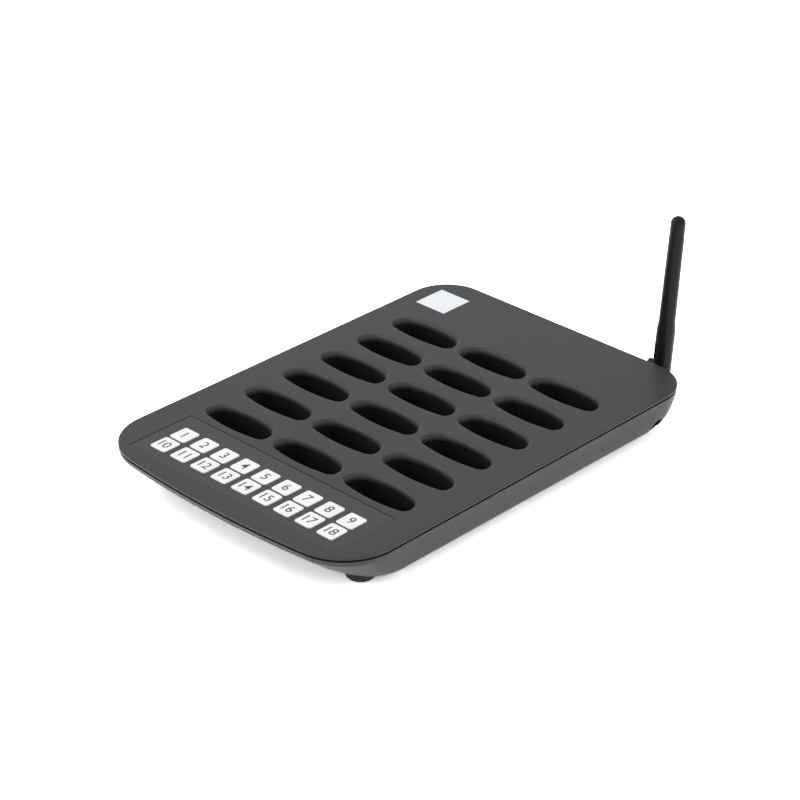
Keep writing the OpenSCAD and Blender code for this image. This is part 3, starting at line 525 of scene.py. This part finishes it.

# ---------------------------------------------------------------- pager wells
# Black strips of six D-shaped cups, one under each column of slots, hung from the cover. Their walls
# stand back behind the rims, so a slot looks black inside. Their near-black colour is partly their own black
# plastic and partly painted shade that darkens the slots' insides. Two sprung pins stand up through each
# floor.
WELL_INSET, WELL_WALL, WELL_FLOOR = 2.2 * MM, 1.6 * MM, 12.0 * MM
# painted shade: near black, darker than the other black parts, so the slots' insides read dark
well_plastic = moulded("well_plastic", (0.006, 0.006, 0.007), 0.75, grain=1800.0, specular=0.2)
for side in ("left", "centre", "right"):
    strip_low, strip_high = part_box(f"slot_strip_{side}")
    cup = bmesh.new()
    web = strip_high.z - WELL_WALL
    loft(cup, [arc_ring(slot_arcs(), WELL_INSET, strip_high.z),
               arc_ring(slot_arcs(), WELL_INSET, WELL_FLOOR)])
    fill(cup, level_edges(cup, WELL_FLOOR), up=True)
    loft(cup, [arc_ring(slot_arcs(), WELL_INSET - WELL_WALL, strip_low.z),
               arc_ring(slot_arcs(), WELL_INSET - WELL_WALL, web)])
    fill(cup, level_edges(cup, strip_low.z), up=False)
    cups = rows_of(f"well_cups_{side}", plain_mesh("well_cup", cup), 1, SLOT_ROWS, SLOT_PITCH_X, SLOT_PITCH_Y,
                   well_plastic)
    cups.transform(Matrix.Translation(Vector(((strip_low.x + strip_high.x) / 2, slot_middle.y, 0))))
    shape = bmesh.new()
    shape.from_mesh(cups)
    loft(shape, [rectangle(strip_low, strip_high, 0, web),
                 rectangle(strip_low, strip_high, 0, strip_high.z)])
    fill(shape, level_edges(shape, strip_high.z), up=True)
    fill(shape, level_edges(shape, web), up=False)
    closed(shape)
    finished(f"well_strip_{side}", shape, well_plastic, "base", "well_plastic", f"slot_strip_{side}",
             crease=30)

# ---------------------------------------------------------------- keypad panel
# A thin, smooth film-faced panel let into the plate, slightly cooler in tone than the cover. The keys
# come up through its windows with a little room all round.
panel_film = moulded("panel_film", (0.048, 0.052, 0.055), 0.40, specular=0.2, grain=5200.0, depth=0.00001)
skinned("keypad_panel", "keypad_face", panel_film, "base", "panel_plastic", crease=24, ease=0.12 * MM)

# ---------------------------------------------------------------- keys
# Eighteen white keys with soft edges, each free to be pressed, printed with its number in dark grey.
# The rear row counts 1 to 9 from the left and the front row goes on to 18.
key_white = moulded("key_white", (0.93, 0.93, 0.93), 0.35, grain=3000.0, depth=0.000012, tone=0.03)
key_ink = moulded("key_ink", (0.055, 0.055, 0.060), 0.5, grain=6000.0, depth=0.000005)
DIGIT_HEIGHT = 6.3 * MM
INK_LIFT, INK_THICKNESS = 0.02 * MM, 0.01 * MM
STROKE_GAIN = 0.006                    # thickens the figures, in parts of the text size
for number in range(1, 19):
    name = f"key_{number}"
    skinned(name, f"keycap_{number}", key_white, name, "key_white", crease=40, ease=0.35 * MM, steps=3)
    low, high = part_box(name)
    text = bpy.data.curves.new(f"digits_{number}", "FONT")
    text.body = str(number)
    text.align_x = "CENTER"
    text.align_y = "CENTER"
    text.extrude = INK_THICKNESS / DIGIT_HEIGHT
    text.offset = STROKE_GAIN
    holder = bpy.data.objects.new(f"digits_{number}", text)
    scene.collection.objects.link(holder)
    mesh = bpy.data.meshes.new_from_object(holder.evaluated_get(bpy.context.evaluated_depsgraph_get()))
    bpy.data.objects.remove(holder)
    corners = [Vector(v.co) for v in mesh.vertices]
    bottom, top = min(c.y for c in corners), max(c.y for c in corners)
    left, right = min(c.x for c in corners), max(c.x for c in corners)
    scale = DIGIT_HEIGHT / (top - bottom)
    centre = Vector(((left + right) / 2, (bottom + top) / 2, 0))
    place = Vector(((low.x + high.x) / 2, (low.y + high.y) / 2, high.z + INK_LIFT - INK_THICKNESS))
    mesh.transform(Matrix.Translation(place) @ Matrix.Scale(scale, 4) @ Matrix.Translation(-centre))
    digits = link(f"number_{number}", mesh, key_ink)
    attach(digits, name)

# ---------------------------------------------------------------- label
# A blank paper label, white with a trace of blue, stuck down in its shallow recess at the rear left
# corner.
label_paper = moulded("label_paper", (0.88, 0.91, 0.95), 0.55, grain=4000.0, depth=0.00001, tone=0.02)
skinned("blank_label", "corner_label", label_paper, "base", "label_white", ease=0.05 * MM)

# ---------------------------------------------------------------- antenna
# A folding stub antenna of black plastic. Its knuckle turns on the connector, and on a pin it carries
# the mast's foot beside it. The mast is a sleeve with a thicker collar and ends in a domed tip.
TURNED_STEPS = 48
BARREL_R, BORE_R, BORE_DEPTH = 5.6 * MM, 3.15 * MM, 5.0 * MM
BOSS_R, BOSS_LEFT, BOSS_RIGHT = 3.3 * MM, -10.2 * MM, -1.9 * MM
BOSS_EDGE, ARM_LESS = 0.5 * MM, 0.1 * MM
SWING_R, SWING_GAP = 5.8 * MM, 0.4 * MM          # the foot is rounded about the pin, clear of the barrel
PIN_R, PIN_SUNK, PIN_END = 1.2 * MM, 0.8 * MM, 3.5 * MM
COLLAR_R, COLLAR_HIGH, COLLAR_TAPER = 5.65 * MM, 31.0 * MM, 6.0 * MM
SLEEVE_FOOT_R, SLEEVE_TOP_R, SLEEVE_END, SLEEVE_EDGE = 5.0 * MM, 4.6 * MM, 84.0 * MM, 0.2 * MM
LAP_X, LAP_TOP = -1.6 * MM, 5.2 * MM             # left of this the foot is cut away for the knuckle's boss
FLAT_DEPTH, FLAT_TOP = 2.6 * MM, 17.0 * MM        # a flat in front of that, above the boss
CAP_R, CAP_EDGE, TIP, DOME_STEP = 4.5 * MM, 0.15 * MM, 97.0 * MM, 10
FOOT_SHIFT = 0.4 * MM                            # the mast's foot stands this far left of its tip
FAR = 30 * MM                                    # cutting tools reach this far
tilt_joint = next(j for j in frame["record"]["behaviour"]["joints"] if j["name"] == "antenna_tilt")
pivot = Vector(tilt_joint["pos_m"])
at_pivot = Matrix.Translation(pivot)
leaning = at_pivot @ Matrix.Rotation(-math.radians(tilt_joint["range_deg"][1]), 4, "X")
barrel_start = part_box("antenna_knuckle")[0].y - pivot.y


def turned_bar(name, rings, along="Z"):
    """A closed bar turned about an axis through the origin, from (radius, distance) pairs."""
    shape = bmesh.new()
    ways = [math.tau * step / TURNED_STEPS for step in range(TURNED_STEPS)]
    circles = [[Vector((radius * math.cos(way), radius * math.sin(way), distance)) for way in ways]
               for radius, distance in reversed(rings)]
    for edges in loft(shape, circles):
        bmesh.ops.edgeloop_fill(shape, edges=edges)
    if along == "X":
        bmesh.ops.rotate(shape, verts=shape.verts, matrix=Matrix.Rotation(math.pi / 2, 3, "Y"))
    if along == "Y":
        bmesh.ops.rotate(shape, verts=shape.verts, matrix=Matrix.Rotation(-math.pi / 2, 3, "X"))
    bmesh.ops.recalc_face_normals(shape, faces=shape.faces)
    return link(name, plain_mesh(name, shape), None)


def block(name, low, high):
    """A plain box between two corners, as a cutting tool."""
    shape = bmesh.new()
    bmesh.ops.create_cube(shape, size=1.0)
    for vert in shape.verts:
        vert.co = Vector([(l + h) / 2 + c * (h - l) for l, h, c in zip(low, high, vert.co)])
    return link(name, plain_mesh(name, shape), None)


def worked(piece, *steps):
    """Adds and cuts tools one after another, and returns the result as a bmesh. The tools are used up."""
    for operation, tool in steps:
        cut = piece.modifiers.new(tool.name, "BOOLEAN")
        cut.operation = operation
        cut.solver = "EXACT"
        cut.object = tool
    flattened(piece)
    for _, tool in steps:
        bpy.data.objects.remove(tool)
    shape = bmesh.new()
    shape.from_mesh(piece.data)
    bpy.data.objects.remove(piece)
    bmesh.ops.remove_doubles(shape, verts=shape.verts, dist=WELD)
    return shape


antenna_black = moulded("antenna_black", (0.010, 0.010, 0.011), 0.34, grain=3500.0, depth=0.00001,
                        specular=0.12)
barrel = turned_bar("barrel", [(BARREL_R, barrel_start), (BARREL_R, -SWING_R - SWING_GAP)], along="Y")
arm = turned_bar("arm", [(BOSS_R - ARM_LESS, barrel_start), (BOSS_R - ARM_LESS, 0)], along="Y")
arm.data.transform(Matrix.Translation(Vector((BOSS_LEFT + BOSS_R, 0, 0))))
boss = turned_bar("boss", [(BOSS_R - BOSS_EDGE, BOSS_LEFT), (BOSS_R, BOSS_LEFT + BOSS_EDGE),
                           (BOSS_R, BOSS_RIGHT)], along="X")
clear = block("clear", (BOSS_RIGHT, -SWING_R - SWING_GAP, -FAR), (FAR, FAR, FAR))
bore = turned_bar("bore", [(BORE_R, barrel_start - FAR), (BORE_R, barrel_start + BORE_DEPTH)], along="Y")
shape = worked(barrel, ("UNION", arm), ("UNION", boss), ("DIFFERENCE", clear), ("DIFFERENCE", bore))
shape.transform(at_pivot)
finished("knuckle", shape, antenna_black, "antenna_swivel", "antenna_rubber", "antenna_knuckle")

shape = worked(turned_bar("pin", [(PIN_R, BOSS_LEFT + PIN_SUNK), (PIN_R, PIN_END)], along="X"))
shape.transform(at_pivot)
finished("hinge_pin", shape, antenna_black, "antenna_swivel", "plated_steel", "antenna_pin")

sleeve = turned_bar("sleeve", [(COLLAR_R, -SWING_R), (COLLAR_R, COLLAR_HIGH - COLLAR_TAPER),
                               (SLEEVE_FOOT_R, COLLAR_HIGH), (SLEEVE_TOP_R, SLEEVE_END - SLEEVE_EDGE),
                               (SLEEVE_TOP_R - SLEEVE_EDGE, SLEEVE_END)])
swing = turned_bar("swing", [(SWING_R, 1 * MM - FAR), (SWING_R, FAR - 1 * MM)], along="X")
keep = worked(block("keep", (-FAR, -FAR, 0), (FAR, FAR, 4 * FAR)), ("UNION", swing))
keep = link("keep", plain_mesh("keep", keep), None)
lap = block("lap", (-FAR, -FAR, -FAR), (LAP_X, FAR, LAP_TOP))
flat = block("flat", (-FAR, -FAR, 0), (LAP_X + 0.01 * MM, FLAT_DEPTH - COLLAR_R, FLAT_TOP))
shape = worked(sleeve, ("INTERSECT", keep), ("DIFFERENCE", lap), ("DIFFERENCE", flat))
shear = Matrix.Identity(4)
shear[0][2], shear[0][3] = FOOT_SHIFT / SLEEVE_END, -FOOT_SHIFT
shape.transform(leaning @ shear)
finished("mast_sleeve", shape, antenna_black, "antenna_mast", "antenna_rubber", "antenna_mast")

cap_rings = [(CAP_R - CAP_EDGE, SLEEVE_END), (CAP_R, SLEEVE_END + CAP_EDGE)]
for turn in range(0, 90, DOME_STEP):
    turn = math.radians(turn)
    cap_rings.append((CAP_R * math.cos(turn), TIP - CAP_R * (1 - math.sin(turn))))
shape = worked(turned_bar("cap", cap_rings))
shape.transform(leaning)
finished("mast_tip", shape, antenna_black, "antenna_mast", "antenna_rubber", "antenna_cap")

# ---------------------------------------------------------------- feet
# Four round feet of black rubber, each pushed into a pocket in the underside, so that the base stands
# 3.2 mm clear of the table.
foot_rubber = moulded("foot_rubber", (0.016, 0.016, 0.017), 0.8, grain=1500.0, depth=0.00006)
for corner in ("front_left", "front_right", "rear_left", "rear_right"):
    skinned(f"foot_{corner}", f"rubber_foot_{corner}", foot_rubber, "base", "foot_rubber", crease=30)

# ---------------------------------------------------------------- metal parts
# Gold-plated contact pins, antenna connector and radiating wire, and zinc-plated screws and screening
# can. They are the solids' own meshes.


def plated(name, colour, roughness):
    """Plated metal with a fine brushed drift of its gloss."""
    material = bpy.data.materials.new(name)
    material.use_nodes = True
    tree = material.node_tree
    shader = tree.nodes["Principled BSDF"]
    skin = node(tree, "ShaderNodeGroup", {"node_tree": moulded_grain},
                {"Colour": (*colour, 1), "Tone Drift": 0.12, "Roughness": roughness,
                 "Sheen Drift": 0.25, "Grains per Metre": 6000.0})
    tree.links.new(skin.outputs["Colour"], shader.inputs["Base Color"])
    tree.links.new(skin.outputs["Roughness"], shader.inputs["Roughness"])
    shader.inputs["Metallic"].default_value = 1.0
    return material


def paint(material, *names):
    """Gives carried-over CAD nodes a finish."""
    for name in names:
        nodes[name].data.materials.clear()
        nodes[name].data.materials.append(material)


gold_plate = plated("gold_plate", (0.80, 0.60, 0.26), 0.28)
zinc_plate = plated("zinc_plate", (0.60, 0.61, 0.63), 0.36)
paint(gold_plate, "antenna_connector", "connector_nut", "antenna_element",
      *(f"charging_contacts_{side}" for side in ("left", "centre", "right")))
paint(zinc_plate, "case_screws", "keypad_screws", "rf_shield")

# ---------------------------------------------------------------- boards inside
# Circuit boards with green and blue solder mask, black switches, headers, chip, jack and lead, and a
# pale ribbon, all closed in by the housing.
green_mask = moulded("green_mask", (0.012, 0.045, 0.022), 0.30, grain=900.0, tone=0.3)
blue_mask = moulded("blue_mask", (0.015, 0.035, 0.110), 0.30, grain=900.0, tone=0.3)
black_plastic = moulded("black_plastic", (0.020, 0.020, 0.021), 0.50)
ribbon_film = moulded("ribbon_film", (0.42, 0.42, 0.44), 0.45, grain=2000.0)
paint(green_mask, "main_board", "keypad_board",
      *(f"charging_board_{side}" for side in ("left", "centre", "right")))
paint(blue_mask, "rf_module")
paint(black_plastic, "key_switches", "board_links", "control_chip", "dc_jack", "antenna_coax")
paint(ribbon_film, "keypad_ribbon")

# ---------------------------------------------------------------- floor and light
# A pale table, a broad softbox overhead to the left, a small low one in front and a weaker one to the
# right. Seen directly, the table and the room are white, and only the shade under the base shows.
FLOOR_SIDE = 9.0
half = FLOOR_SIDE / 2
floor_mesh = bpy.data.meshes.new("floor")
floor_mesh.from_pydata([(-half, -half, 0), (half, -half, 0), (half, half, 0), (-half, half, 0)], [],
                       [(0, 1, 2, 3)])
floor_white = bpy.data.materials.new("floor_white")
floor_white.use_nodes = True
tree = floor_white.node_tree
tree.nodes.clear()
matt = node(tree, "ShaderNodeBsdfDiffuse", values={"Color": (0.80, 0.80, 0.80, 1)})
bright = node(tree, "ShaderNodeBsdfDiffuse", values={"Color": (3.0, 3.0, 3.0, 1)})
glow = node(tree, "ShaderNodeEmission", values={"Color": (1, 1, 1, 1), "Strength": 0.10})


def seen_ray(tree):
    """1 for rays from the camera, from a glossy surface or through glass, which see a surface as white."""
    rays = node(tree, "ShaderNodeLightPath")
    direct = node(tree, "ShaderNodeMath", {"operation": "MAXIMUM"},
                  links={0: rays.outputs["Is Camera Ray"], 1: rays.outputs["Is Glossy Ray"]})
    return node(tree, "ShaderNodeMath", {"operation": "MAXIMUM"},
                links={0: direct.outputs[0], 1: rays.outputs["Is Transmission Ray"]}).outputs[0]


lit = node(tree, "ShaderNodeAddShader", links={0: bright.outputs[0], 1: glow.outputs[0]})
mixed = node(tree, "ShaderNodeMixShader",
             links={0: seen_ray(tree), 1: matt.outputs[0], 2: lit.outputs[0]})
node(tree, "ShaderNodeOutputMaterial", links={"Surface": mixed.outputs[0]})
floor = link("floor", floor_mesh, floor_white)

room = bpy.data.worlds.new("room")
room.use_nodes = True
scene.world = room
tree = room.node_tree
tree.nodes.clear()
sky = node(tree, "ShaderNodeBackground", values={"Color": (1, 1, 1, 1), "Strength": 0.55})
backdrop = node(tree, "ShaderNodeBackground", values={"Color": (1, 1, 1, 1), "Strength": 1.0})
mixed = node(tree, "ShaderNodeMixShader",
             links={0: seen_ray(tree), 1: sky.outputs[0], 2: backdrop.outputs[0]})
node(tree, "ShaderNodeOutputWorld", links={"Surface": mixed.outputs[0]})


def softbox(name, place, target, size, power):
    """A square area lamp that faces a point."""
    lamp = bpy.data.lights.new(name, "AREA")
    lamp.size = size
    lamp.energy = power
    holder = bpy.data.objects.new(name, lamp)
    scene.collection.objects.link(holder)
    holder.location = place
    holder.rotation_euler = (Vector(target) - Vector(place)).to_track_quat("-Z", "Y").to_euler()


softbox("key_light", (-0.9, -0.5, 1.5), (0, 0, 0), 1.2, 14)
softbox("front_light", (-1.1, -1.3, 0.56), (0, 0, 0), 0.4, 5)
softbox("fill_light", (1.5, 0.3, 0.7), (0, 0, 0), 1.0, 5)
scene.view_settings.view_transform = "Standard"
